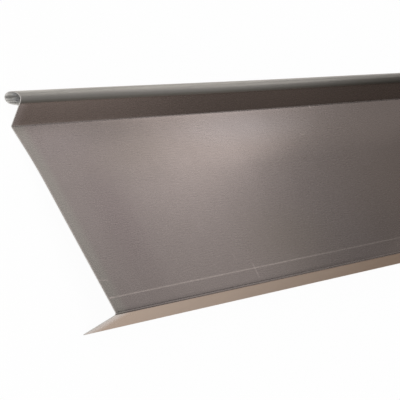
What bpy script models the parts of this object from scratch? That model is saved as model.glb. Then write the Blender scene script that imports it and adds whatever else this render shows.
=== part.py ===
"""Verge flashing: one 2 m strip of satin zinc sheet, folded twice and rolled into a bead along one edge.

Metres, +Z up. The strip runs along X and lies as it comes to rest on a level floor: its broad show
face looks up, and it stands on the free edge of the nailing flange and on the back of the drip fold.
The origin is on the floor, under the middle of the strip's box.
"""

import math

import bmesh
import bpy
import numpy as np
from mathutils.geometry import convex_hull_2d

# Stock: a 250 mm wide strip of 0.65 mm sheet, sold in lengths of 2 m
LENGTH = 2.000
SHEET = 0.00065

# Flange widths, measured along the middle of the sheet between the sharp corners of the folds
NAILING_FLANGE = 0.0319
BOARD_PANEL = 0.1298
SHOULDER_PANEL = 0.0348
DRIP_FLANGE = 0.0180

# Folds: how far each one turns the sheet from flat, in degrees, and the radius of its inner side
NAILING_FOLD = 90.0
SHOULDER_TURN = 4.3
DRIP_FOLD = 57.5
FOLD_RADIUS = 0.0017

# The shoulder is no sharp fold but a gentle bend, this wide, across the show face
SHOULDER_WIDTH = 0.040

# Bead: an oval roll along the free edge of the drip flange, on its back
BEAD_WIDTH = 0.0140
BEAD_HEIGHT = 0.0101
BEAD_LEAN = 76.0
LEAD_IN_RADIUS = 0.0180
BEAD_GAP = 0.0005

# Straight pieces of line that stand for each curve of the section
FOLD_STEPS = 10
SHOULDER_STEPS = 8
LEAD_IN_STEPS = 6
OVAL_STEPS = 42

# Satin zinc
ZINC_COLOUR = (0.25, 0.225, 0.21, 1.0)
ZINC_ROUGHNESS = 0.38


def clear_scene():
    """Remove the objects that the scene starts with."""
    for old in list(bpy.data.objects):
        bpy.data.objects.remove(old, do_unlink=True)


def direction(degrees):
    """Unit vector at an angle from the section's first axis."""
    angle = math.radians(degrees)
    return np.array([math.cos(angle), math.sin(angle)])


def arc(start, heading, turn, radius, steps):
    """Points after start along an arc that turns the heading by turn degrees, left when positive."""
    side = math.copysign(1.0, turn)
    centre = start + side * radius * direction(heading + 90.0)
    angles = heading - side * 90.0 + np.linspace(0.0, turn, steps + 1)[1:]
    return centre + radius * np.column_stack([np.cos(np.radians(angles)), np.sin(np.radians(angles))])


def folded_flanges():
    """Middle line of the flanges, from the free edge of the nailing flange to the start of the bead.

    The board panel lies along the first axis here, with the show face on its left, upper side.
    Each row is a flange's width, the turn at its end, that bend's radius and the steps in it.
    """
    bend = FOLD_RADIUS + SHEET / 2
    shoulder = SHOULDER_WIDTH / math.radians(SHOULDER_TURN)
    rows = [
        (NAILING_FLANGE, -NAILING_FOLD, bend, FOLD_STEPS),
        (BOARD_PANEL, -SHOULDER_TURN, shoulder, SHOULDER_STEPS),
        (SHOULDER_PANEL, DRIP_FOLD, bend, FOLD_STEPS),
    ]
    heading = NAILING_FOLD
    corner = -NAILING_FLANGE * direction(heading)
    line = [corner]
    for width, turn, radius, steps in rows:
        corner = corner + width * direction(heading)
        setback = radius * math.tan(math.radians(abs(turn)) / 2)
        begin = corner - setback * direction(heading)
        line.append(begin)
        line.extend(arc(begin, heading, turn, radius, steps))
        heading += turn
    line.append(corner + DRIP_FLANGE * direction(heading))
    return line, heading


def rolled_bead(foot, heading):
    """Middle line of the bead, from the drip flange's end round to the edge that is tucked back.

    A lead-in arc turns the sheet square to the oval's long axis. Three quarters of an ellipse
    follow, and a flat return that stops a small gap short of the flange's back.
    """
    outward = direction(heading + BEAD_LEAN)
    upward = direction(heading + BEAD_LEAN - 90.0)
    lead_in = arc(foot, heading, BEAD_LEAN - 90.0, LEAD_IN_RADIUS, LEAD_IN_STEPS)

    half_width = (BEAD_WIDTH - SHEET) / 2
    half_height = (BEAD_HEIGHT - SHEET) / 2
    centre = lead_in[-1] - half_width * outward
    round_turn = np.radians(np.linspace(0.0, 270.0, OVAL_STEPS + 1)[1:])
    oval = centre + half_width * np.outer(np.cos(round_turn), outward)
    oval = oval + half_height * np.outer(np.sin(round_turn), upward)

    flange_way = direction(heading)
    drop = (foot - oval[-1]) @ upward / (flange_way @ upward)
    lean = math.radians(BEAD_LEAN)
    clearance = (SHEET / 2 + BEAD_GAP) / math.sin(lean) + SHEET / 2 / math.tan(lean)
    tucked_edge = foot - drop * flange_way - clearance * outward
    return [*lead_in, *oval, tucked_edge]


def section():
    """Middle line of the whole section, as an array of points."""
    flanges, heading = folded_flanges()
    return np.array([*flanges, *rolled_bead(flanges[-1], heading)])


def both_faces(line):
    """Points of the sheet's two faces, half its thickness to each side of the middle line."""
    steps = np.diff(line, axis=0)
    ways = steps / np.hypot(steps[:, 0], steps[:, 1])[:, None]
    before = np.vstack([ways[:1], ways])
    after = np.vstack([ways, ways[-1:]])
    mitre = before + after
    mitre = mitre / np.sum(mitre * before, axis=1)[:, None]
    normal = np.column_stack([-mitre[:, 1], mitre[:, 0]])
    return np.vstack([line + normal * SHEET / 2, line - normal * SHEET / 2])


def at_rest(line):
    """Turn and place the section as it lies on the floor, with its box centred.

    The floor touches the longest side of the section's convex hull on the back of the sheet. The
    hull runs anticlockwise, so its sides on the back are those that run along +Y.
    """
    faces = both_faces(line)
    hull = faces[convex_hull_2d([tuple(point) for point in faces])]
    sides = np.roll(hull, -1, axis=0) - hull
    lengths = np.hypot(sides[:, 0], sides[:, 1])
    floor_side = sides[np.argmax(np.where(sides[:, 0] > 0.0, lengths, 0.0))]
    slope = math.atan2(floor_side[1], floor_side[0])
    level = np.array([[math.cos(slope), -math.sin(slope)], [math.sin(slope), math.cos(slope)]])
    low = (faces @ level).min(axis=0)
    high = (faces @ level).max(axis=0)
    return line @ level - np.array([(low[0] + high[0]) / 2, low[1]])


def zinc():
    """Plain satin zinc."""
    material = bpy.data.materials.new("satin_zinc")
    material.use_nodes = True
    shader = material.node_tree.nodes["Principled BSDF"]
    shader.inputs["Base Color"].default_value = ZINC_COLOUR
    shader.inputs["Roughness"].default_value = ZINC_ROUGHNESS
    shader.inputs["Metallic"].default_value = 1.0
    return material


def verge_flashing():
    """Draw the section at one end, pull it along X as an open skin, and give the skin its thickness."""
    form = bmesh.new()
    points = [form.verts.new((-LENGTH / 2, y, z)) for y, z in at_rest(section())]
    edges = [form.edges.new(pair) for pair in zip(points, points[1:])]
    pulled = bmesh.ops.extrude_edge_only(form, edges=edges)["geom"]
    far_end = [item for item in pulled if isinstance(item, bmesh.types.BMVert)]
    bmesh.ops.translate(form, verts=far_end, vec=(LENGTH, 0.0, 0.0))
    mesh = bpy.data.meshes.new("verge_flashing")
    form.to_mesh(mesh)
    form.free()

    strip = bpy.data.objects.new("verge_flashing", mesh)
    wall = strip.modifiers.new("sheet", "SOLIDIFY")
    wall.thickness = SHEET
    wall.offset = 0.0
    wall.use_even_offset = True
    mesh.materials.append(zinc())
    mesh.shade_smooth()
    mesh.set_sharp_from_angle(angle=math.radians(30.0))
    return strip


clear_scene()
collection = bpy.data.collections.new("verge_flashing")
bpy.context.scene.collection.children.link(collection)
collection.objects.link(verge_flashing())
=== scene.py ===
# %% [markdown]
# # A verge flashing in satin zinc
# A verge flashing is a long strip of sheet metal that covers the edge of a roof where it meets the
# gable. This one is a single strip of zinc, folded along two lines, bent gently along a third and
# rolled into a bead along one edge. The engineering model is loaded first, as a fixed frame.
# Everything that follows only dresses it.

# %% Load the frame and keep its box
import math
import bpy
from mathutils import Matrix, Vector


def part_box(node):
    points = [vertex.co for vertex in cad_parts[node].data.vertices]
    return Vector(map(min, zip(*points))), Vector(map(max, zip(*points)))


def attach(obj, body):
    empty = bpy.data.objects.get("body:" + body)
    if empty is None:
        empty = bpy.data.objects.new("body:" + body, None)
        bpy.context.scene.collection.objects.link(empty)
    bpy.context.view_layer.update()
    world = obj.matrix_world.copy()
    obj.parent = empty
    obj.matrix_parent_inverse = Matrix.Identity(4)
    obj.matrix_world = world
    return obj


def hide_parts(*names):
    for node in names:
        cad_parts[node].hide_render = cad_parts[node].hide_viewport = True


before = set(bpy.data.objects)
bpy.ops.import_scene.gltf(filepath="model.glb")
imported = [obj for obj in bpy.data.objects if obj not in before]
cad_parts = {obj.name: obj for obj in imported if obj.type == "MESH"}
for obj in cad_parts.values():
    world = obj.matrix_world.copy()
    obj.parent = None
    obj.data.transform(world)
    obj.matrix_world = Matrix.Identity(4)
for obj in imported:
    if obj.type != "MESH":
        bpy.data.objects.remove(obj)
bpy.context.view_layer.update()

from types import SimpleNamespace

import bpy
import numpy as np
from mathutils import Matrix, Vector
from mathutils.geometry import convex_hull_2d

# %% [markdown]
# ## The camera
# The picture is 400 pixels square, and its long edges run together slowly, so the lens is a long
# one, far from the strip. A camera is easiest to read as a place, a direction and a roll. The roll is
# large here: the strip lies on a floor, but is seen as if it stood on edge.

# %% Camera
PIXELS = 400
FOCAL_PIXELS = 3000.0
SENSOR_MM = 36.0
CAMERA_PLACE = Vector((-3.0410, -0.2170, 0.9670))
LOOKS_ALONG = 5.1447
LOOKS_DOWN = 22.312
ROLL = 68.6487

azimuth = math.radians(LOOKS_ALONG)
drop = math.radians(LOOKS_DOWN)
forward = Vector((math.cos(azimuth) * math.cos(drop), math.sin(azimuth) * math.cos(drop), -math.sin(drop)))
turn = forward.to_track_quat("-Z", "Y").to_matrix().to_4x4() @ Matrix.Rotation(math.radians(ROLL), 4, "Z")
camera_data = bpy.data.cameras.new("camera")
camera_data.sensor_width = SENSOR_MM
camera_data.lens = FOCAL_PIXELS / PIXELS * SENSOR_MM
camera = bpy.data.objects.new("camera", camera_data)
camera.matrix_world = Matrix.Translation(CAMERA_PLACE) @ turn
bpy.context.scene.collection.objects.link(camera)
bpy.context.scene.camera = camera
bpy.context.scene.view_settings.view_transform = "Standard"
print("the lens is", round(camera_data.lens), "mm long")

# %% [markdown]
# ## The section of the strip
# Folded sheet is drawn the way it is made. A flat strip is followed from one long edge to the other,
# and each fold turns its heading. The widths are measured between the sharp corners of the folds, as
# a bending drawing gives them, and each corner is then rounded by an arc. The engineering model draws
# the same line, with about as many steps in its arcs and a single one in each flat stretch. Here the
# flat stretches are divided too, so that the sheet can ripple a little.

# %% Sizes of the section, in metres and degrees
SHEET = 0.00065
NAILING_FLANGE = 0.0319
BOARD_PANEL = 0.1298
SHOULDER_PANEL = 0.0348
DRIP_FLANGE = 0.0180
NAILING_FOLD = 90.0
SHOULDER_TURN = 4.3
DRIP_FOLD = 57.5
FOLD_RADIUS = 0.0017
SHOULDER_WIDTH = 0.040
BEAD_WIDTH = 0.0140
BEAD_HEIGHT = 0.0101
BEAD_LEAN = 76.0
LEAD_IN_RADIUS = 0.0180
BEAD_GAP = 0.0005
print("flanges of", NAILING_FLANGE, BOARD_PANEL, SHOULDER_PANEL, DRIP_FLANGE, "metres")


# %% Arcs and straight runs
def direction(degrees):
    """Unit vector at an angle from the section's first axis."""
    angle = math.radians(degrees)
    return np.array([math.cos(angle), math.sin(angle)])


def arc(start, heading, turned, radius, steps):
    """Points after start on a circle that leaves start along the heading and turns it by some degrees.

    The centre lies a radius to the side of the turn, and each point is centre + radius * (cos, sin).
    """
    side = math.copysign(1.0, turned)
    centre = start + side * radius * direction(heading + 90.0)
    angles = np.radians(heading - side * 90.0 + np.linspace(0.0, turned, steps + 1)[1:])
    return centre + radius * np.column_stack([np.cos(angles), np.sin(angles)])


def run(start, end, steps):
    """Points after start, evenly spaced up to end: start + (end - start) * share."""
    share = np.linspace(0.0, 1.0, steps + 1)[1:, None]
    return start + (end - start) * share


# %% Flanges
DRIP_STEPS = 6


def folded_flanges():
    """Middle line of the flanges: straight runs joined by arcs that touch both runs at each corner."""
    bend = FOLD_RADIUS + SHEET / 2
    shoulder = SHOULDER_WIDTH / math.radians(SHOULDER_TURN)
    rows = [
        # width, its straight steps, the turn at its end, and that bend's radius and steps
        (NAILING_FLANGE, 10, -NAILING_FOLD, bend, 12),
        (BOARD_PANEL, 40, -SHOULDER_TURN, shoulder, 12),
        (SHOULDER_PANEL, 5, DRIP_FOLD, bend, 10),
    ]
    heading = NAILING_FOLD
    corner = -NAILING_FLANGE * direction(heading)
    pieces = [corner[None]]
    for width, steps, turned, radius, arc_steps in rows:
        corner = corner + width * direction(heading)
        setback = radius * math.tan(math.radians(abs(turned)) / 2)
        begin = corner - setback * direction(heading)
        pieces.append(run(pieces[-1][-1], begin, steps))
        pieces.append(arc(begin, heading, turned, radius, arc_steps))
        heading += turned
    pieces.append(run(pieces[-1][-1], corner + DRIP_FLANGE * direction(heading), DRIP_STEPS))
    return np.vstack(pieces), heading


flanges, last_heading = folded_flanges()
print("the drip flange leaves its fold at", round(last_heading, 1), "degrees to the board")

# %% [markdown]
# ## The rolled bead
# The strip's free edge is rolled back on itself. That hides the sharp cut, makes the long edge stiff
# and gives rain a rounded lip to drip from. A circle would be the easy shape, but this roll is wider
# than it is high. So a lead-in arc turns the sheet towards the roll, three quarters of an ellipse
# follow, and a flat return stops just short of the flange.

# %% Bead
LEAD_IN_STEPS = 5
OVAL_STEPS = 48
RETURN_STEPS = 4


def rolled_bead(foot, heading):
    """Middle line of the bead, from the drip flange's end at foot round to the tucked edge.

    The ellipse is centre + half_width * cos(t) * outward + half_height * sin(t) * upward.
    """
    outward = direction(heading + BEAD_LEAN)
    upward = direction(heading + BEAD_LEAN - 90.0)
    lead_in = arc(foot, heading, BEAD_LEAN - 90.0, LEAD_IN_RADIUS, LEAD_IN_STEPS)
    half_width = (BEAD_WIDTH - SHEET) / 2
    half_height = (BEAD_HEIGHT - SHEET) / 2
    centre = lead_in[-1] - half_width * outward
    t = np.radians(np.linspace(0.0, 270.0, OVAL_STEPS + 1)[1:])
    oval = centre + half_width * np.outer(np.cos(t), outward) + half_height * np.outer(np.sin(t), upward)
    lean = math.radians(BEAD_LEAN)
    fall = (foot - oval[-1]) @ upward / (direction(heading) @ upward)
    clearance = (SHEET / 2 + BEAD_GAP) / math.sin(lean) + SHEET / 2 / math.tan(lean)
    tucked_edge = foot - fall * direction(heading) - clearance * outward
    return np.vstack([lead_in, oval, run(oval[-1], tucked_edge, RETURN_STEPS)])


bead = rolled_bead(flanges[-1], last_heading)
print("the bead adds", len(bead), "points")

# %% [markdown]
# ## How the strip lies
# Put down and let go, a folded strip tips over until two lines of it touch the floor. In its section
# these are the two ends of one side of the convex hull, here the longest one under the sheet's back.
# Turning the strip by eye would leave it floating or sunk by a hair. Working out that side and making
# it level does not, and the engineering model is laid down in the same way.


# %% Lay the section on the floor
def sideways(line):
    """Unit normals of a line of points, to its left: the mean way of both neighbours, turned by 90."""
    ways = np.gradient(line, axis=0)
    ways /= np.hypot(ways[:, 0], ways[:, 1])[:, None]
    return np.column_stack([-ways[:, 1], ways[:, 0]])


def at_rest(line):
    """Turn the line until the longest hull side under its back is level, and put it on the floor."""
    faces = np.vstack([line + sideways(line) * SHEET / 2, line - sideways(line) * SHEET / 2])
    hull = faces[convex_hull_2d([tuple(point) for point in faces])]
    sides = np.roll(hull, -1, axis=0) - hull
    lengths = np.hypot(sides[:, 0], sides[:, 1])
    floor_side = sides[np.argmax(np.where(sides[:, 0] > 0.0, lengths, 0.0))]
    slope = math.atan2(floor_side[1], floor_side[0])
    level = np.array([[math.cos(slope), -math.sin(slope)], [math.sin(slope), math.cos(slope)]])
    low = (faces @ level).min(axis=0)
    high = (faces @ level).max(axis=0)
    return line @ level - np.array([(low[0] + high[0]) / 2, low[1]])


MIDDLE = at_rest(np.vstack([flanges, bead]))
GIRTH = np.concatenate([[0.0], np.cumsum(np.hypot(*np.diff(MIDDLE, axis=0).T))])
NORMAL = sideways(MIDDLE)
print("girth", round(GIRTH[-1] * 1000, 1), "mm, drawn with", len(MIDDLE), "points")
print("section reaches", (MIDDLE.min(axis=0) * 1000).round(2), (MIDDLE.max(axis=0) * 1000).round(2), "mm")

# %% [markdown]
# ## The sheet as one closed skin
# The strip is the section carried along X, with a show face and a back half a sheet's thickness to
# either side of the middle line. A solid made by Solidify would do, but its edges would be knife
# sharp, and the sheared edge of a thin sheet is what catches the light. So the skin is worked out
# here as a surface of two parameters, x along the strip and s round its girth. The two faces stop
# just short of the cut edges, and a rim of three narrow bands joins them round all four sides.

# %% Where the sheet departs from a perfect fold, in metres
node_low, node_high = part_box("verge_flashing")
LENGTH = node_high.x - node_low.x
NEAR_END = node_low.x
BOARD_START = 0.034
BOARD_END = 0.190
HOLLOW = 0.00006
RIPPLE = 0.5
RIPPLES = [
    # radians for each metre along, radians at the middle, radians across the board, height
    (21.0, 1.9, 1.4, 1.0),
    (47.0, -0.8, 2.6, 0.45),
]
BOW_PLACE = -0.52
BOW_REACH = 0.40
BOW_DEPTH = 0.00045


def across_board(s):
    """Share of the way across the board, from 0 beside the nailing fold to 1 beside the drip fold."""
    return np.clip((s - BOARD_START) / (BOARD_END - BOARD_START), 0.0, 1.0)


def swell(value, middle, reach):
    """Smooth bump, 1 at the middle and 0 from a reach away: (1 + cos) / 2 of the share of the reach."""
    share = np.clip(np.abs(value - middle) / reach, 0.0, 1.0)
    return 0.5 + 0.5 * np.cos(np.pi * share)


def waves(x, s):
    """How far the face stands off the perfect fold along its normal, in metres.

    The board lies a little hollow and ripples along its length, as flat sheet does after folding:
    sines along x that lean across the board, times a squared half sine that keeps the folds straight.
    """
    across = across_board(s)
    ripples = sum(height * np.sin(x * rate + start + across * lean) for rate, start, lean, height in RIPPLES)
    return -HOLLOW * np.sin(np.pi * across) ** 2 * (1.0 + RIPPLE * ripples)


def bow(x, s):
    """Sideways shift of the drip edge, in metres: one long shallow bump, growing across the board."""
    return -BOW_DEPTH * swell(x, BOW_PLACE, BOW_REACH) * across_board(s)


deepest = HOLLOW * (1.0 + RIPPLE * sum(row[-1] for row in RIPPLES))
print("the board's waves are at most", round(deepest * 1000, 2), "mm deep")

# %% The skin
ROUNDING = 0.00009
SEEN_END = -0.05
SEEN_STEPS = 168
FAR_STEPS = 62
HEM = 0.0004


def skin(x, s, t):
    """Points of the sheet at x along it, s round its girth and t through it, from -1 to 1.

    A point is the middle line at s, plus t half thicknesses and the waves along the normal there.
    """
    middle = np.column_stack([np.interp(s, GIRTH, MIDDLE[:, axis]) for axis in (0, 1)])
    normal = np.column_stack([np.interp(s, GIRTH, NORMAL[:, axis]) for axis in (0, 1)])
    off = t * SHEET / 2 + waves(x, s)
    y = middle[:, 0] + normal[:, 0] * off + bow(x, s)
    z = middle[:, 1] + normal[:, 1] * off
    return np.column_stack([x, y, z])


def with_hems(values):
    """The same values with one more close to each end, so that an edge's rounding ends there."""
    return np.concatenate([values[:1], values[:1] + HEM, values[1:-1], values[-1:] - HEM, values[-1:]])


def pulled_in(values, amount):
    """The same values with the first and last moved in from the cut edges."""
    moved = values.copy()
    moved[0] += amount
    moved[-1] -= amount
    return moved


stations = with_hems(np.concatenate([
    np.linspace(NEAR_END, SEEN_END, SEEN_STEPS, endpoint=False),
    np.linspace(SEEN_END, NEAR_END + LENGTH, FAR_STEPS + 1),
]))
girths = with_hems(GIRTH)
print(len(stations), "stations along the strip, and", len(girths), "round its girth")


# %% Faces between the points
def border(rows, columns):
    """Numbers of a grid's rim points, in order round it, for a grid counted row by row."""
    grid = np.arange(rows * columns).reshape(rows, columns)
    return np.concatenate([grid[0, :-1], grid[:-1, -1], grid[-1, :0:-1], grid[:0:-1, 0]])


def quads(rows, columns, first, flip):
    """The four corners of each cell of a grid whose points are numbered from first."""
    grid = first + np.arange(rows * columns).reshape(rows, columns)
    cells = np.stack([grid[:-1, :-1], grid[1:, :-1], grid[1:, 1:], grid[:-1, 1:]], axis=-1).reshape(-1, 4)
    return cells[:, ::-1] if flip else cells


def band(one, other):
    """Quads between two closed rings of points."""
    return np.column_stack([one, np.roll(one, -1), np.roll(other, -1), other])


# %% Put the skin into a mesh
SHARP_FROM = 50.0


def sheet_mesh(name):
    """Both faces and the rim as one mesh, with x and s as its UV map and two attributes.

    side is 1 on the show face and -1 on the back. edge is the distance to the nearest cut edge.
    """
    rows, columns = len(stations), len(girths)
    inner_x, inner_s = np.meshgrid(pulled_in(stations, ROUNDING), pulled_in(girths, ROUNDING), indexing="ij")
    outer_x, outer_s = np.meshgrid(stations, girths, indexing="ij")
    rim = border(rows, columns)
    count = rows * columns
    x = np.concatenate([inner_x.ravel(), inner_x.ravel(), outer_x.ravel()[rim], outer_x.ravel()[rim]])
    s = np.concatenate([inner_s.ravel(), inner_s.ravel(), outer_s.ravel()[rim], outer_s.ravel()[rim]])
    rounded = 1.0 - 2.0 * ROUNDING / SHEET
    t = np.repeat([1.0, -1.0, rounded, -rounded], [count, count, len(rim), len(rim)])
    points = skin(x, s, t)

    high_ring = 2 * count + np.arange(len(rim))
    low_ring = high_ring + len(rim)
    faces = np.vstack([
        quads(rows, columns, 0, False), quads(rows, columns, count, True),
        band(rim, high_ring), band(high_ring, low_ring), band(low_ring, count + rim),
    ])
    mesh = bpy.data.meshes.new(name)
    mesh.from_pydata(points, [], faces)
    corner = np.empty(len(mesh.loops), dtype=np.int32)
    mesh.loops.foreach_get("vertex_index", corner)
    uv = np.column_stack([x - NEAR_END, s])[corner]
    mesh.uv_layers.new(name="sheet").data.foreach_set("uv", uv.ravel().astype(np.float32))
    to_edge = np.minimum(np.minimum(x - NEAR_END, NEAR_END + LENGTH - x), np.minimum(s, GIRTH[-1] - s))
    for label, values in (("side", t), ("edge", to_edge)):
        layer = mesh.attributes.new(label, "FLOAT", "POINT")
        layer.data.foreach_set("value", values.astype(np.float32))
    mesh.shade_smooth()
    mesh.set_sharp_from_angle(angle=math.radians(SHARP_FROM))
    return mesh


strip = bpy.data.objects.new("zinc_strip", sheet_mesh("zinc_strip"))
bpy.context.scene.collection.objects.link(strip)
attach(strip, "root")
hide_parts("verge_flashing")
print("the skin has", len(strip.data.polygons), "quads")

# %% [markdown]
# ## Small tools for shader nodes
# Every finish below is a node tree, and a tree built by hand takes many lines for little meaning. A
# few short helpers let an effect be written much as its formula reads: a value that is a socket is
# linked, and a plain number or colour is set.


# %% Numbers and vectors
def feed(tree, socket, value):
    """Link a value to a socket if it is a socket itself, and otherwise set it, unless it is None."""
    if isinstance(value, bpy.types.NodeSocket):
        tree.links.new(value, socket)
    elif value is not None:
        socket.default_value = value


def calc(tree, operation, *values, clamp=False):
    """One Math node."""
    node = tree.nodes.new("ShaderNodeMath")
    node.operation = operation
    node.use_clamp = clamp
    for socket, value in zip(node.inputs, values):
        feed(tree, socket, value)
    return node.outputs["Value"]


def vector_calc(tree, operation, *values):
    """One Vector Math node: its Value for a length, a distance or a dot product, and else its Vector."""
    node = tree.nodes.new("ShaderNodeVectorMath")
    node.operation = operation
    for socket, value in zip(node.inputs, values):
        feed(tree, socket, value)
    return node.outputs["Value" if operation in ("LENGTH", "DOT_PRODUCT", "DISTANCE") else "Vector"]


# %% Soft steps and noise
def ramp(tree, value, low, high, first=0.0, last=1.0):
    """A smooth step: first below low, last above high, and an S curve between."""
    node = tree.nodes.new("ShaderNodeMapRange")
    node.interpolation_type = "SMOOTHSTEP"
    labels = ("Value", "From Min", "From Max", "To Min", "To Max")
    for label, number in zip(labels, (value, low, high, first, last)):
        feed(tree, node.inputs[label], number)
    return node.outputs["Result"]


def noise(tree, place, scale, detail=2.0, rough=0.5):
    """A Noise texture's value, about 0.5 on average."""
    node = tree.nodes.new("ShaderNodeTexNoise")
    for label, value in zip(("Vector", "Scale", "Detail", "Roughness"), (place, scale, detail, rough)):
        feed(tree, node.inputs[label], value)
    return node.outputs["Fac"]


def spread(tree, value, reach, first=0.0, last=1.0):
    """Noise stretched about its average: first from a reach below 0.5, last from a reach above it."""
    return ramp(tree, value, 0.5 - reach, 0.5 + reach, first, last)


# %% Colours
def blend(tree, share, one, other, mode="MIX"):
    """A colour between one and other, or one mixed with other by a mode, by a share."""
    node = tree.nodes.new("ShaderNodeMix")
    node.data_type = "RGBA"
    node.blend_type = mode
    for label, value in zip(("Factor_Float", "A_Color", "B_Color"), (share, one, other)):
        feed(tree, next(socket for socket in node.inputs if socket.identifier == label), value)
    return next(socket for socket in node.outputs if socket.identifier == "Result_Color")


def tinted(tree, share, tone, tint):
    """The tone multiplied by a tint, by a share."""
    return blend(tree, share, tone, blend(tree, 1.0, tone, tint, "MULTIPLY"))


def shade(tree, value):
    """A grey colour whose three parts are all one value."""
    node = tree.nodes.new("ShaderNodeCombineColor")
    for label in ("Red", "Green", "Blue"):
        feed(tree, node.inputs[label], value)
    return node.outputs["Color"]


# %% Node groups
def new_group(name, inputs, outputs):
    """An empty node group with named sockets: its tree, and the sockets at its two ends."""
    group = bpy.data.node_groups.new(name, "ShaderNodeTree")
    for label, (kind, value) in inputs.items():
        socket = group.interface.new_socket(label, in_out="INPUT", socket_type="NodeSocket" + kind)
        socket.default_value = value
    for label, kind in outputs.items():
        group.interface.new_socket(label, in_out="OUTPUT", socket_type="NodeSocket" + kind)
    return group, group.nodes.new("NodeGroupInput").outputs, group.nodes.new("NodeGroupOutput").inputs


def place_group(tree, group, **values):
    """A copy of a group in a tree, with its inputs fed by name."""
    node = tree.nodes.new("ShaderNodeGroup")
    node.node_tree = group
    for label, value in values.items():
        feed(tree, node.inputs[label], value)
    return node.outputs


# %% [markdown]
# ## The white floor
# The strip lies on white paper that burns out to pure white in the picture, yet keeps a breath of
# shadow. Lighting it that hard would also flood the metal, so most of the paper's white is a glow
# that only camera, mirror and glass rays see. The rest of it is plain matt paper, which takes the
# shadow and sends soft light back up.

# %% Paper
FLOOR_REACH = 6.0
PAPER_WHITE = 0.94
PAPER_ROUGHNESS = 0.9
PAPER_GLOW = 0.97


def white_paper():
    """Matt white paper that glows for the rays that look at it."""
    paper = bpy.data.materials.new("white_paper")
    paper.use_nodes = True
    tree = paper.node_tree
    matt = tree.nodes["Principled BSDF"]
    matt.inputs["Base Color"].default_value = (PAPER_WHITE, PAPER_WHITE, PAPER_WHITE, 1.0)
    matt.inputs["Roughness"].default_value = PAPER_ROUGHNESS
    matt.inputs["Specular IOR Level"].default_value = 0.0
    ray = tree.nodes.new("ShaderNodeLightPath").outputs
    looked_at = calc(tree, "MAXIMUM", ray["Is Camera Ray"], ray["Is Glossy Ray"])
    looked_at = calc(tree, "MAXIMUM", looked_at, ray["Is Transmission Ray"])
    glow = tree.nodes.new("ShaderNodeEmission")
    mixed = tree.nodes.new("ShaderNodeMixShader")
    feed(tree, mixed.inputs[0], calc(tree, "MULTIPLY", looked_at, PAPER_GLOW))
    tree.links.new(matt.outputs["BSDF"], mixed.inputs[1])
    tree.links.new(glow.outputs["Emission"], mixed.inputs[2])
    tree.links.new(mixed.outputs["Shader"], tree.nodes["Material Output"].inputs["Surface"])
    return paper


corners = [(x * FLOOR_REACH, y * FLOOR_REACH, 0.0) for x, y in ((-1, -1), (1, -1), (1, 1), (-1, 1))]
floor_mesh = bpy.data.meshes.new("floor")
floor_mesh.from_pydata(corners, [], [(0, 1, 2, 3)])
floor_mesh.materials.append(white_paper())
floor = bpy.data.objects.new("floor", floor_mesh)
bpy.context.scene.collection.objects.link(floor)
print("floor of", 2 * FLOOR_REACH, "metres square")

# %% [markdown]
# ## Light for bare metal
# Metal has hardly a colour of its own: what it shows is the room. Seen from this low and this far,
# every face of the strip mirrors a small part of the room just beyond its far end, so the picture is
# lit from there. The room itself is a soft pale dome, which makes the strip read as metal from its
# other sides too. Glows painted on the dome's walls add the broad changes from pale to dark. Lamps
# could do this too, but their straight sides would show.

# %% The room
ROOM_BRIGHT = 0.75
ROOM_DARK = 0.05
BRIGHT_WAY = Vector((-0.62, 0.20, 0.76)).normalized()
DARK_UP_TO = -0.25
BRIGHT_FROM = 0.85

world = bpy.data.worlds.new("room")
world.use_nodes = True
bpy.context.scene.world = world
tree = world.node_tree
way = tree.nodes.new("ShaderNodeTexCoord").outputs["Generated"]
facing = vector_calc(tree, "DOT_PRODUCT", way, BRIGHT_WAY)
dome = ramp(tree, facing, DARK_UP_TO, BRIGHT_FROM, ROOM_DARK, ROOM_BRIGHT)
print("the dome shines from", ROOM_DARK, "to", ROOM_BRIGHT)

# %% Soft glows on the walls of the room
parts = tree.nodes.new("ShaderNodeSeparateXYZ")
feed(tree, parts.inputs["Vector"], way)
bearing = calc(tree, "DEGREES", calc(tree, "ARCTAN2", parts.outputs["Y"], parts.outputs["X"]))
rise = calc(tree, "DEGREES", calc(tree, "ARCSINE", parts.outputs["Z"]))
wall = tree.nodes.new("ShaderNodeCombineXYZ")
feed(tree, wall.inputs["X"], bearing)
feed(tree, wall.inputs["Y"], rise)


def wall_glow(tree, middle, reach, lean):
    """An elliptical glow, 1 at its middle and 0 at its rim. Its places and sizes are in degrees."""
    shifted = vector_calc(tree, "SUBTRACT", wall.outputs["Vector"], (*middle, 0.0))
    turned = tree.nodes.new("ShaderNodeVectorRotate")
    turned.rotation_type = "Z_AXIS"
    feed(tree, turned.inputs["Vector"], shifted)
    turned.inputs["Angle"].default_value = math.radians(-lean)
    shares = vector_calc(tree, "DIVIDE", turned.outputs["Vector"], (*reach, 1.0))
    return ramp(tree, vector_calc(tree, "LENGTH", shares), 0.0, 1.0, 1.0, 0.0)


WALL_GLOWS = [
    # middle as (bearing, rise), reach across and up, lean, radiance
    ((17.3, 20.9), (6.0, 17.0), -36.0, 0.70),
    ((19.7, 24.0), (17.0, 17.0), 0.0, 0.47),
    ((-9.7, 24.0), (17.0, 7.6), 9.7, 1.20),
    ((-21.3, 4.0), (17.0, 6.0), -15.0, 0.31),
    ((26.0, 1.0), (5.0, 7.0), 0.0, 1.20),
]
light = dome
for middle, reach, lean, radiance in WALL_GLOWS:
    light = calc(tree, "MULTIPLY_ADD", wall_glow(tree, middle, reach, lean), radiance, light)
feed(tree, tree.nodes["Background"].inputs["Color"], light)
print(len(WALL_GLOWS), "glows on the walls")

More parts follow.
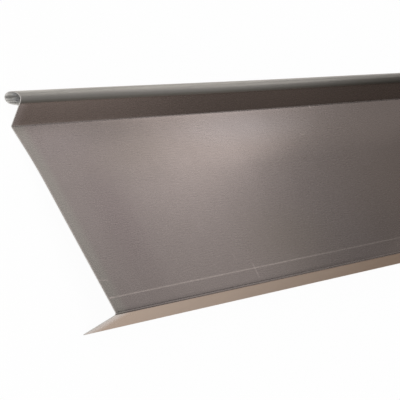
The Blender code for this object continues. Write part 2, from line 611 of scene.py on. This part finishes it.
# %% [markdown]
# ## Softboxes
# A softbox is a flat lamp with a diffusing front, and satin metal shows it as a pale patch with soft
# edges. Small ones stand at the strip's middle and beyond, where the board, the drip flange and the
# bead mirror them. The room low down on the right is left nearly dark, because that is what most of
# the drip flange sees. One broad lamp behind the camera lightens the mouth of the roll. A lamp's power
# spreads over its face, so its energy is worked out from how bright that face should look.


# %% Softboxes
def softbox(name, place, aim, width, height, radiance):
    """A flat lamp at a place, turned to a point, whose face shines as bright as its radiance says."""
    data = bpy.data.lights.new(name, "AREA")
    data.shape = "RECTANGLE"
    data.size = width
    data.size_y = height
    data.energy = radiance * width * height * math.pi
    lamp = bpy.data.objects.new(name, data)
    aimed = (Vector(aim) - Vector(place)).to_track_quat("-Z", "Y").to_matrix().to_4x4()
    lamp.matrix_world = Matrix.Translation(place) @ aimed
    lamp.visible_camera = False
    bpy.context.scene.collection.objects.link(lamp)


SOFTBOXES = [
    # name, place and the point it faces in metres, width, height, radiance
    ("patch", (0.0, 0.232, 0.231), (-1.0, 0.232, 0.231), 0.156, 0.141, 1.25),
    ("patch_left", (0.0, 0.084, 0.320), (-1.0, 0.084, 0.320), 0.143, 0.120, 0.75),
    ("patch_core", (0.45, 0.300, 0.420), (-1.0, 0.300, 0.420), 0.150, 0.080, 0.79),
    ("high", (0.45, 0.277, 0.750), (-1.0, 0.277, 0.750), 0.500, 0.220, 0.26),
    ("drip", (0.0, -0.359, 0.288), (-1.0, -0.359, 0.288), 0.231, 0.184, 0.93),
    ("drip_low", (0.0, -0.086, 0.221), (-1.0, -0.086, 0.221), 0.121, 0.260, 0.17),
    ("bead", (0.0, 0.440, 0.160), (-1.0, 0.440, 0.160), 0.150, 0.260, 1.60),
    ("front", (-3.4, -0.1, 1.4), (-0.8, 0.0, 0.0), 3.0, 2.8, 1.9),
]
for row in SOFTBOXES:
    softbox(*row)
print(len(SOFTBOXES), "softboxes")

# %% [markdown]
# ## Marks as node groups
# A scratch is the set of points near a line from one place to another, so its mask needs only the
# distance to that line. A rub or a stain is the same with an ellipse. Both read the sheet's own UV
# map, in which one unit is one metre along the strip and one metre round its girth, so a mark can be
# placed with a ruler. Painting an image would do this too, but would blur up close.

# %% Scratch
SCRATCH_CORE = 0.3
GAP_SCALE = 160.0

scratch_group, ins, outs = new_group(
    "scratch",
    {"Place": ("Vector", (0, 0, 0)), "Start": ("Vector", (0, 0, 0)), "End": ("Vector", (1, 0, 0)),
     "Width": ("Float", 0.0003), "Patchy": ("Float", 0.3)},
    {"Mask": "Float"})
tree = scratch_group
reach = vector_calc(tree, "SUBTRACT", ins["Place"], ins["Start"])
whole = vector_calc(tree, "SUBTRACT", ins["End"], ins["Start"])
done = vector_calc(tree, "DOT_PRODUCT", reach, whole)
share = calc(tree, "DIVIDE", done, vector_calc(tree, "DOT_PRODUCT", whole, whole), clamp=True)
nearest = tree.nodes.new("ShaderNodeVectorMath")
nearest.operation = "SCALE"
feed(tree, nearest.inputs[0], whole)
feed(tree, nearest.inputs["Scale"], share)
distance = vector_calc(tree, "DISTANCE", reach, nearest.outputs["Vector"])
line = ramp(tree, calc(tree, "DIVIDE", distance, ins["Width"]), SCRATCH_CORE, 1.0, 1.0, 0.0)
gaps = spread(tree, noise(tree, ins["Place"], GAP_SCALE, detail=3.0, rough=0.7), 0.15)
kept = calc(tree, "SUBTRACT", 1.0, calc(tree, "MULTIPLY", ins["Patchy"], gaps))
feed(tree, outs["Mask"], calc(tree, "MULTIPLY", line, kept))
print("a scratch takes", len(tree.nodes), "nodes")

# %% Rub
rub_group, ins, outs = new_group(
    "rub",
    {"Place": ("Vector", (0, 0, 0)), "Middle": ("Vector", (0, 0, 0)), "Reach": ("Vector", (0.05, 0.02, 1)),
     "Ragged": ("Float", 0.3), "Grain": ("Float", 60.0)},
    {"Mask": "Float"})
tree = rub_group
from_middle = vector_calc(tree, "SUBTRACT", ins["Place"], ins["Middle"])
radius = vector_calc(tree, "LENGTH", vector_calc(tree, "DIVIDE", from_middle, ins["Reach"]))
stray = calc(tree, "SUBTRACT", noise(tree, ins["Place"], ins["Grain"], detail=4.0, rough=0.6), 0.5)
radius = calc(tree, "MULTIPLY_ADD", stray, calc(tree, "MULTIPLY", ins["Ragged"], 2.0), radius)
feed(tree, outs["Mask"], ramp(tree, radius, 0.0, 1.0, 1.0, 0.0))
print("a rub takes", len(tree.nodes), "nodes")

# %% [markdown]
# ## The surface of rolled zinc
# Bare zinc comes from the mill with a fine grain along the strip, pressed in by the rolls, and with
# clouds of slightly lighter and duller metal. Both are noise, so each is a small group that turns a
# place on the sheet into one value. The grain's place is stretched along the strip before the noise
# is read, which draws the noise out into fine lines. A third group finds the cut edges, where the
# shears left a bright rim and the metal beside it is worn.

# %% Rolled grain
grain_group, ins, outs = new_group(
    "rolled_grain",
    {"Place": ("Vector", (0, 0, 0)), "Along": ("Float", 45.0), "Across": ("Float", 1900.0)},
    {"Value": "Float"})
tree = grain_group
stretch = tree.nodes.new("ShaderNodeCombineXYZ")
feed(tree, stretch.inputs["X"], ins["Along"])
feed(tree, stretch.inputs["Y"], ins["Across"])
drawn = vector_calc(tree, "MULTIPLY", ins["Place"], stretch.outputs["Vector"])
feed(tree, outs["Value"], noise(tree, drawn, 1.0))
print("the grain takes", len(tree.nodes), "nodes")

# %% Clouds
WIDE_SHARE = 0.65
FINE_SHARE = 0.35

cloud_group, ins, outs = new_group(
    "clouds",
    {"Place": ("Vector", (0, 0, 0)), "Wide": ("Float", 9.0), "Fine": ("Float", 70.0)},
    {"Value": "Float"})
tree = cloud_group
wide = noise(tree, ins["Place"], ins["Wide"], detail=3.0)
fine = noise(tree, ins["Place"], ins["Fine"], detail=4.0, rough=0.6)
mixed = calc(tree, "MULTIPLY_ADD", fine, FINE_SHARE, calc(tree, "MULTIPLY", wide, WIDE_SHARE))
feed(tree, outs["Value"], mixed)
print("the clouds take", len(tree.nodes), "nodes")

# %% Cut edge
RIM_SIDE = 0.80
FACE_SIDE = 0.99
WEAR_CORE = 0.1
WEAR_SCALE = 120.0

cut_group, ins, outs = new_group(
    "cut_edge",
    {"Place": ("Vector", (0, 0, 0)), "Distance": ("Float", 1.0), "Side": ("Float", 1.0),
     "Reach": ("Float", 0.003)},
    {"Rim": "Float", "Worn": "Float"})
tree = cut_group
feed(tree, outs["Rim"], ramp(tree, calc(tree, "ABSOLUTE", ins["Side"]), RIM_SIDE, FACE_SIDE, 1.0, 0.0))
ragged = spread(tree, noise(tree, ins["Place"], WEAR_SCALE, detail=3.0, rough=0.6), 0.25, 0.55, 1.25)
share = calc(tree, "DIVIDE", ins["Distance"], calc(tree, "MULTIPLY", ins["Reach"], ragged))
feed(tree, outs["Worn"], ramp(tree, share, WEAR_CORE, 1.0, 1.0, 0.0))
print("the cut edge takes", len(tree.nodes), "nodes")

# %% [markdown]
# ## The zinc of this strip
# One sheet has one metal, but not one tone. The board is a warm grey and the bead has stayed cooler. The
# nailing flange is painted tan, pale near the first end and darker and darker along the strip, as painted
# reflection and painted shade. A metal seen at a glance as flat as this one mirrors almost everything, so
# the tint of its grazing reflections matters as much as its base colour. That tint is one constant for a
# whole material. So the sheet gets three materials, one for each stretch of its girth, and all three are
# made by the same function.

# %% Tones, and the places of the folds round the girth in metres
BOARD_TONE = (0.351, 0.320, 0.320, 1.0)
DRIP_TONE = (0.370, 0.306, 0.283, 1.0)
BEAD_TONE = (0.459, 0.435, 0.408, 1.0)
BACK_TONE = (0.420, 0.410, 0.390, 1.0)
INSIDE_TONE = (0.800, 0.785, 0.760, 1.0)
CUT_TONE = (0.440, 0.420, 0.400, 1.0)
MARK_TONE = (0.62, 0.56, 0.54, 1.0)
SPECK_TONE = (0.16, 0.14, 0.13, 1.0)
NAILING_FOLD_AT = 0.0308
DRIP_FOLD_AT = 0.1960
BEAD_AT = 0.2145
FOLD_SOFTNESS = 0.0012
print("the bead starts", BEAD_AT, "metres round the girth, and is", round(GIRTH[-1] - BEAD_AT, 4), "wide")


# %% What a finish reads from the sheet
def stored(tree, name):
    """A value that the mesh holds at each point."""
    node = tree.nodes.new("ShaderNodeAttribute")
    node.attribute_name = name
    return node.outputs["Fac"]


def readings(tree):
    """What the sheet is like at the point being shaded, by name: its place, wear, clouds and grain."""
    uv = tree.nodes.new("ShaderNodeUVMap")
    uv.uv_map = "sheet"
    place = uv.outputs["UV"]
    apart = tree.nodes.new("ShaderNodeSeparateXYZ")
    feed(tree, apart.inputs["Vector"], place)
    side = stored(tree, "side")
    cut = place_group(tree, cut_group, Place=place, Distance=stored(tree, "edge"), Side=side)
    return SimpleNamespace(
        place=place,
        length=apart.outputs["X"],
        girth=apart.outputs["Y"],
        rim=cut["Rim"],
        worn=cut["Worn"],
        back=ramp(tree, side, -FACE_SIDE, -RIM_SIDE, 1.0, 0.0),
        clouds=place_group(tree, cloud_group, Place=place)["Value"],
        grain=place_group(tree, grain_group, Place=place)["Value"],
    )


# %% Ranges round the girth and along the strip
def from_girth(tree, here, at):
    """0 before a place round the girth and 1 after it, with a soft step between."""
    return ramp(tree, here.girth, at - FOLD_SOFTNESS, at + FOLD_SOFTNESS)


def fold_line(tree, here, at, width):
    """1 along a line round the girth, fading to 0 at a width from it."""
    return ramp(tree, calc(tree, "ABSOLUTE", calc(tree, "SUBTRACT", here.girth, at)), 0.0, width, 1.0, 0.0)


def near_end(tree, here, fade):
    """1 at the strip's first end, fading to 0 between two lengths from it."""
    return ramp(tree, here.length, *fade, 1.0, 0.0)


def on_sheet(pair, depth=0.0):
    """A place or a size in millimetres, along and round the sheet, as a vector in metres."""
    return (pair[0] / 1000, pair[1] / 1000, depth)


# %% [markdown]
# ## Marks of handling
# The strip has been measured, stacked and carried. A long faint line is scribed beside the nailing
# fold, and there are a few short scratches and some small dull specks. They could be scattered at
# random, but a reader would look for the real ones, so each is a row in a list, measured on the flat
# sheet. A row can be moved or left out without touching the others.

# %% Scratches and specks
MARKS = [
    # start and end as (along, round) in millimetres, width in millimetres, strength, gaps
    ((4.0, 44.7), (1250.0, 47.0), 0.80, 0.75, 0.4),
    ((2.5, 44.6), (8.0, 44.8), 1.20, 0.60, 0.0),
    ((299.9, 48.9), (297.8, 36.8), 1.1, 0.70, 0.2),
    ((269.6, 61.0), (269.7, 56.9), 0.9, 0.50, 0.4),
    ((0.3, 60.3), (15.9, 58.9), 0.7, 0.60, 0.3),
    ((642.0, 196.0), (640.1, 193.4), 1.6, 0.70, 0.1),
    ((571.8, 165.6), (581.8, 165.2), 0.6, 0.50, 0.2),
    ((665.0, 42.0), (659.1, 38.1), 0.7, 0.45, 0.3),
]
SPECKS = [
    # middle as (along, round) in millimetres, half length and half width in millimetres, strength
    ((548.0, 141.4), (7.0, 1.6), 0.22),
    ((486.3, 84.9), (4.5, 1.1), 0.16),
    ((545.0, 82.0), (5.0, 1.2), 0.18),
    ((325.6, 132.3), (5.0, 1.2), 0.12),
    ((352.2, 185.2), (4.0, 1.0), 0.12),
    ((88.0, 150.0), (6.0, 1.5), 0.12),
]


def marked(tree, here, tone):
    """The tone with dull specks, and then every scratch as a paler line, laid over it."""
    for middle, half, strength in SPECKS:
        mask = place_group(tree, rub_group, Place=here.place, Middle=on_sheet(middle),
                           Reach=on_sheet(half, 1.0), Ragged=0.25, Grain=400.0)["Mask"]
        tone = blend(tree, calc(tree, "MULTIPLY", mask, strength), tone, SPECK_TONE)
    for start, end, width, strength, gaps in MARKS:
        mask = place_group(tree, scratch_group, Place=here.place, Start=on_sheet(start),
                           End=on_sheet(end), Width=width / 1000, Patchy=gaps)["Mask"]
        tone = blend(tree, calc(tree, "MULTIPLY", mask, strength), tone, MARK_TONE)
    return tone


print(len(MARKS), "scratches and", len(SPECKS), "specks")

# %% [markdown]
# ## Painted reflections on the board
# Broad, soft patches of the board are painted a little paler or darker than the rest. They are painted
# reflection and painted shade: each stands in for a soft reflection of the room that the lamps don't give,
# laid where the board should look paler or darker than the room alone makes it. Noise would put such patches
# anywhere, so each is an ellipse with a soft edge and a tint of its own, laid where the board in the
# photograph is paler or darker than the room alone would make it. One photograph can't tell such a patch
# from a soft reflection, so some of them may really belong to the room.

# %% Painted reflections and painted shade on the board
# Each row is painted reflection where its tint is above 1, and painted shade where it is below 1.
PAINTED_REFLECTIONS = [
    # middle as (along, round) in millimetres, half length and half width in millimetres, tint
    ((575.0, 168.0), (285.0, 37.0), (0.870, 0.875, 0.870)),
    ((450.0, 179.0), (220.0, 26.0), (1.145, 1.175, 1.210)),
    ((70.0, 179.0), (165.0, 28.0), (1.165, 1.155, 1.170)),
    ((90.0, 105.0), (73.0, 89.0), (0.890, 0.875, 0.895)),
    ((175.0, 118.0), (435.0, 83.0), (1.050, 1.050, 1.060)),
    ((185.0, 165.0), (150.0, 39.0), (0.875, 0.880, 0.870)),
    ((800.0, 84.0), (290.0, 119.0), (1.125, 1.090, 1.050)),
    ((410.0, 67.0), (165.0, 55.0), (0.935, 0.940, 0.910)),
]


def with_painted_reflections(tree, here, tone):
    """The tone tinted paler or darker by each painted reflection in turn."""
    for middle, half, tint in PAINTED_REFLECTIONS:
        mask = place_group(tree, rub_group, Place=here.place, Middle=on_sheet(middle),
                           Reach=on_sheet(half, 1.0), Ragged=0.0)["Mask"]
        tone = tinted(tree, mask, tone, (*tint, 1.0))
    return tone


print(len(PAINTED_REFLECTIONS), "soft patches")

# %% [markdown]
# ## What follows the folds
# Some tones keep to a place round the girth. The crease between the drip flange and the bead is painted
# darker, as painted shade, and the bead's lower side is painted darker far along. The bead's crown has a
# painted highlight near the first end, and the board and both flanges are paler right at the cut. Each of
# these is a range round the girth, a range along the strip, or one times the other, which takes two soft
# steps and no image.

# %% Board, drip flange and the crease beside the bead
END_FADE = (0.0084, 0.028)
END_TINT = (1.09, 1.16, 1.11, 1.0)
DRIP_END_FADE = (0.0, 0.018)
DRIP_END_TINT = (1.38, 1.43, 1.48, 1.0)
# Painted shade: the crease between the drip flange and the bead is painted darker.
CREASE_AT = 0.2152
CREASE_REACH = 0.0024
CREASE_SHADE_TINT = (0.62, 0.60, 0.56, 1.0)


def with_crease_shade(tree, here, tone):
    """The tone with painted shade along the crease, darker there."""
    return tinted(tree, fold_line(tree, here, CREASE_AT, CREASE_REACH), tone, CREASE_SHADE_TINT)


def board_tone(tree, here):
    """The board with its painted reflections and paler end, the drip flange past its fold, painted shade
    along the crease, and the marks on both.
    """
    board = with_painted_reflections(tree, here, BOARD_TONE)
    board = tinted(tree, near_end(tree, here, END_FADE), board, END_TINT)
    drip = tinted(tree, near_end(tree, here, DRIP_END_FADE), DRIP_TONE, DRIP_END_TINT)
    tone = blend(tree, from_girth(tree, here, DRIP_FOLD_AT), board, drip)
    return marked(tree, here, with_crease_shade(tree, here, tone))


# %% Bead
# Painted highlight: the bead's crown is painted paler near the first end.
CROWN_HIGHLIGHTS = [
    # where it starts and is full round the girth, where it fades along the strip, in metres, and tint
    ((0.2195, 0.2225), (0.20, 0.42), (1.25, 1.26, 1.25, 1.0)),
    ((0.2212, 0.2240), (0.03, 0.16), (1.30, 1.31, 1.32, 1.0)),
]
# Painted shade: the bead's lower side is painted darker far along the strip.
BEAD_SHADE_GIRTH = (0.2185, 0.2235)
BEAD_SHADE_LENGTH = (0.35, 0.95)
BEAD_SHADE_TINT = (0.38, 0.37, 0.35, 1.0)


def bead_tone(tree, here):
    """Grey of the bead, with a painted highlight on its crown near the first end, and painted shade on its
    lower side far along and in the crease.
    """
    tone = blend(tree, from_girth(tree, here, BEAD_AT), DRIP_TONE, BEAD_TONE)
    for around, fade, tint in CROWN_HIGHLIGHTS:
        crown_highlight = calc(tree, "MULTIPLY", ramp(tree, here.girth, *around), near_end(tree, here, fade))
        tone = tinted(tree, crown_highlight, tone, tint)
    below = ramp(tree, here.girth, *BEAD_SHADE_GIRTH, 1.0, 0.0)
    shaded_side = calc(tree, "MULTIPLY", below, ramp(tree, here.length, *BEAD_SHADE_LENGTH))
    return with_crease_shade(tree, here, tinted(tree, shaded_side, tone, BEAD_SHADE_TINT))


# %% Nailing flange
# The nailing flange's tan, pale near the first end and dark far along, is painted reflection and painted
# shade. The same fade along the strip also sets how far tarnish dulls its metal.
TARNISH_AND_SHADE_LENGTH = (-0.25, 0.85)
TARNISH_AND_SHADE_STRAY = 0.25
FLANGE_NEAR_TONE = (0.780, 0.740, 0.720, 1.0)
FLANGE_FAR_TONE = (0.120, 0.075, 0.050, 1.0)
FLANGE_TIP_TONE = (0.820, 0.800, 0.790, 1.0)
TIP_FADE = (0.002, 0.034)


def tarnish_and_painted_shade(tree, here):
    """A fade along the strip with a cloudy edge: it turns the nailing flange's painted tan from pale to
    dark, as painted shade, and sets how far tarnish dulls the metal.
    """
    stray = calc(tree, "SUBTRACT", here.clouds, 0.5)
    return ramp(tree, calc(tree, "MULTIPLY_ADD", stray, TARNISH_AND_SHADE_STRAY, here.length), *TARNISH_AND_SHADE_LENGTH)


def flange_tone(tree, here):
    """Painted reflection and painted shade on the nailing flange: a tan that is pale near the first end and
    dark far along, with a pale grey tip.
    """
    tone = blend(tree, tarnish_and_painted_shade(tree, here), FLANGE_NEAR_TONE, FLANGE_FAR_TONE)
    return blend(tree, near_end(tree, here, TIP_FADE), tone, FLANGE_TIP_TONE)


# %% [markdown]
# ## Inside the roll
# Looked into, the roll shows dark and light stripes: its curved inner wall mirrors the room past the
# strip's far end, squeezed into thin bands. To draw them, a lamp would have to shine through two
# metres of narrow roll. So the bands are laid into the tone of the metal's back, as soft lines at
# places round the girth. Less light comes in with every millimetre, and the tone grows paler past the
# mouth to make up for it.

# %% Bands of light
INSIDE_BANDS = [
    # middle and half width round the girth in millimetres, share of white
    (231.4, 1.4, 0.55),
    (233.4, 1.2, 0.95),
    (236.4, 2.5, 0.27),
    (239.5, 1.3, 0.52),
    (243.2, 3.0, 0.42),
]
WARM_WHITE = (1.0, 0.975, 0.945)
MOUTH_REACH = (0.006, 0.024)
DEEP_GAIN = 3.2
PALEST = (0.95, 0.95, 0.95, 1.0)


def back_tone(tree, here):
    """The dull back of the sheet, and inside the roll its bands, which grow paler past the mouth."""
    # Inside the roll the back is painted paler than elsewhere, as painted light.
    inside = INSIDE_TONE
    for middle, half_width, white in INSIDE_BANDS:
        band_tone = (*(white * part for part in WARM_WHITE), 1.0)
        inside = blend(tree, fold_line(tree, here, middle / 1000, half_width / 1000), inside, band_tone)
    gain = shade(tree, ramp(tree, here.length, *MOUTH_REACH, 1.0, DEEP_GAIN))
    inside = blend(tree, 1.0, blend(tree, 1.0, inside, gain, "MULTIPLY"), PALEST, "DARKEN")
    return blend(tree, from_girth(tree, here, BEAD_AT), BACK_TONE, inside)


print(len(INSIDE_BANDS), "bands inside the roll")

# %% [markdown]
# ## Relief too fine for the mesh
# The rolled grain is less than a thousandth of a millimetre high, and one place on the board has
# shallow dents of a few hundredths. Both bend reflections without changing the outline, which is what
# a bump is for. Real points for them would take millions of faces.

# %% Grain and small dents
GRAIN_HEIGHT = 0.0000005
DENT_HEIGHT = 0.00005
DENT_SCALE = 85.0
DENTED_AT = (470.0, 150.0)
DENTED_REACH = (170.0, 60.0)


def raised(tree, height, distance, normal=None):
    """The normal of a relief whose height, from 0 to 1, is in units of a distance in metres."""
    bump = tree.nodes.new("ShaderNodeBump")
    bump.inputs["Distance"].default_value = distance
    feed(tree, bump.inputs["Height"], height)
    feed(tree, bump.inputs["Normal"], normal)
    return bump.outputs["Normal"]


def relief(tree, here):
    """The normal of the rolled grain, with the dented place on top."""
    dented = place_group(tree, rub_group, Place=here.place, Middle=on_sheet(DENTED_AT),
                         Reach=on_sheet(DENTED_REACH, 1.0), Ragged=0.35, Grain=30.0)["Mask"]
    dents = calc(tree, "MULTIPLY", noise(tree, here.place, DENT_SCALE), dented)
    return raised(tree, dents, DENT_HEIGHT, raised(tree, here.grain, GRAIN_HEIGHT))


# %% [markdown]
# ## Zinc
# The finish is put together here. Bare zinc is a metal and is shaded as one, but tarnish, the film on
# the back and the rough cut edge take its shine, so there the shader turns partly to a plain surface.
# One function makes all three stretches, so that clouds, grain and worn edges run over from one
# stretch to the next without a seam.

# %% Colour, roughness and metal
CLOUDINESS = 0.03
WORN_SHARE = 0.45
GRAIN_ROUGHNESS = 0.01
BACK_ROUGHNESS = 0.33
BACK_DULLNESS = 0.90


def colour(tree, here, tone_of):
    """The stretch's own tone, with clouds, worn edges, the back and the cut rim laid over it in turn."""
    cloudy = shade(tree, spread(tree, here.clouds, 0.2, 1.0 - CLOUDINESS, 1.0 + CLOUDINESS))
    tone = blend(tree, 1.0, tone_of(tree, here), cloudy, "MULTIPLY")
    tone = blend(tree, calc(tree, "MULTIPLY", here.worn, WORN_SHARE), tone, MARK_TONE)
    tone = blend(tree, here.back, tone, back_tone(tree, here))
    return blend(tree, here.rim, tone, CUT_TONE)


def roughness(tree, here, smooth, tarnish):
    """The show face's roughness, which varies with the grain, plus the tarnish's and the back's."""
    rough = spread(tree, here.grain, 0.2, smooth - GRAIN_ROUGHNESS, smooth + GRAIN_ROUGHNESS)
    return calc(tree, "MULTIPLY_ADD", here.back, BACK_ROUGHNESS, calc(tree, "ADD", tarnish, rough))


def metal_left(tree, here, tarnish, end_dullness):
    """1 where the metal is bare, and less where tarnish, the back's film or the rough cut dulls it."""
    dull = calc(tree, "MULTIPLY_ADD", near_end(tree, here, TIP_FADE), end_dullness, tarnish)
    unseen = calc(tree, "MAXIMUM", here.back, here.rim)
    dull = calc(tree, "MULTIPLY_ADD", unseen, BACK_DULLNESS, dull, clamp=True)
    return calc(tree, "SUBTRACT", 1.0, dull)


# %% The three stretches
def zinc(name, tone_of, grazing_tint, smooth, dullness, end_dullness):
    """The material of one stretch of the sheet.

    smooth is the roughness of the show face. The dullnesses are how far tarnish hides the metal, on
    the whole stretch and at its first end.
    """
    metal = bpy.data.materials.new(name)
    metal.use_nodes = True
    tree = metal.node_tree
    here = readings(tree)
    tarnish = calc(tree, "MULTIPLY", tarnish_and_painted_shade(tree, here), dullness)
    shader = tree.nodes["Principled BSDF"].inputs
    shader["Specular Tint"].default_value = grazing_tint
    feed(tree, shader["Base Color"], colour(tree, here, tone_of))
    feed(tree, shader["Roughness"], roughness(tree, here, smooth, tarnish))
    feed(tree, shader["Metallic"], metal_left(tree, here, tarnish, end_dullness))
    feed(tree, shader["Normal"], relief(tree, here))
    return metal


ZINCS = [
    # name, tone, tint of grazing reflections, roughness, dullness of the tarnish and of the end
    ("flange_tarnish_and_painted_reflection", flange_tone, (0.52, 0.40, 0.310, 1.0), 0.27, 0.08, 0.4),
    ("satin_zinc", board_tone, (0.60, 0.51, 0.445, 1.0), 0.27, 0.0, 0.0),
    ("bead_zinc", bead_tone, (0.93, 0.895, 0.855, 1.0), 0.45, 0.0, 0.0),
]
for row in ZINCS:
    metal = zinc(*row)
    strip.data.materials.append(metal)
    print(row[0], "takes", len(metal.node_tree.nodes), "nodes")

# %% Give each face its stretch
sheet_uv = np.empty(len(strip.data.loops) * 2, dtype=np.float32)
strip.data.uv_layers["sheet"].data.foreach_get("uv", sheet_uv)
girth_of_face = sheet_uv[1::2].reshape(-1, 4).mean(axis=1)
stretch_of_face = np.digitize(girth_of_face, [NAILING_FOLD_AT, BEAD_AT])
strip.data.polygons.foreach_set("material_index", stretch_of_face)
print("faces in each stretch:", np.bincount(stretch_of_face))
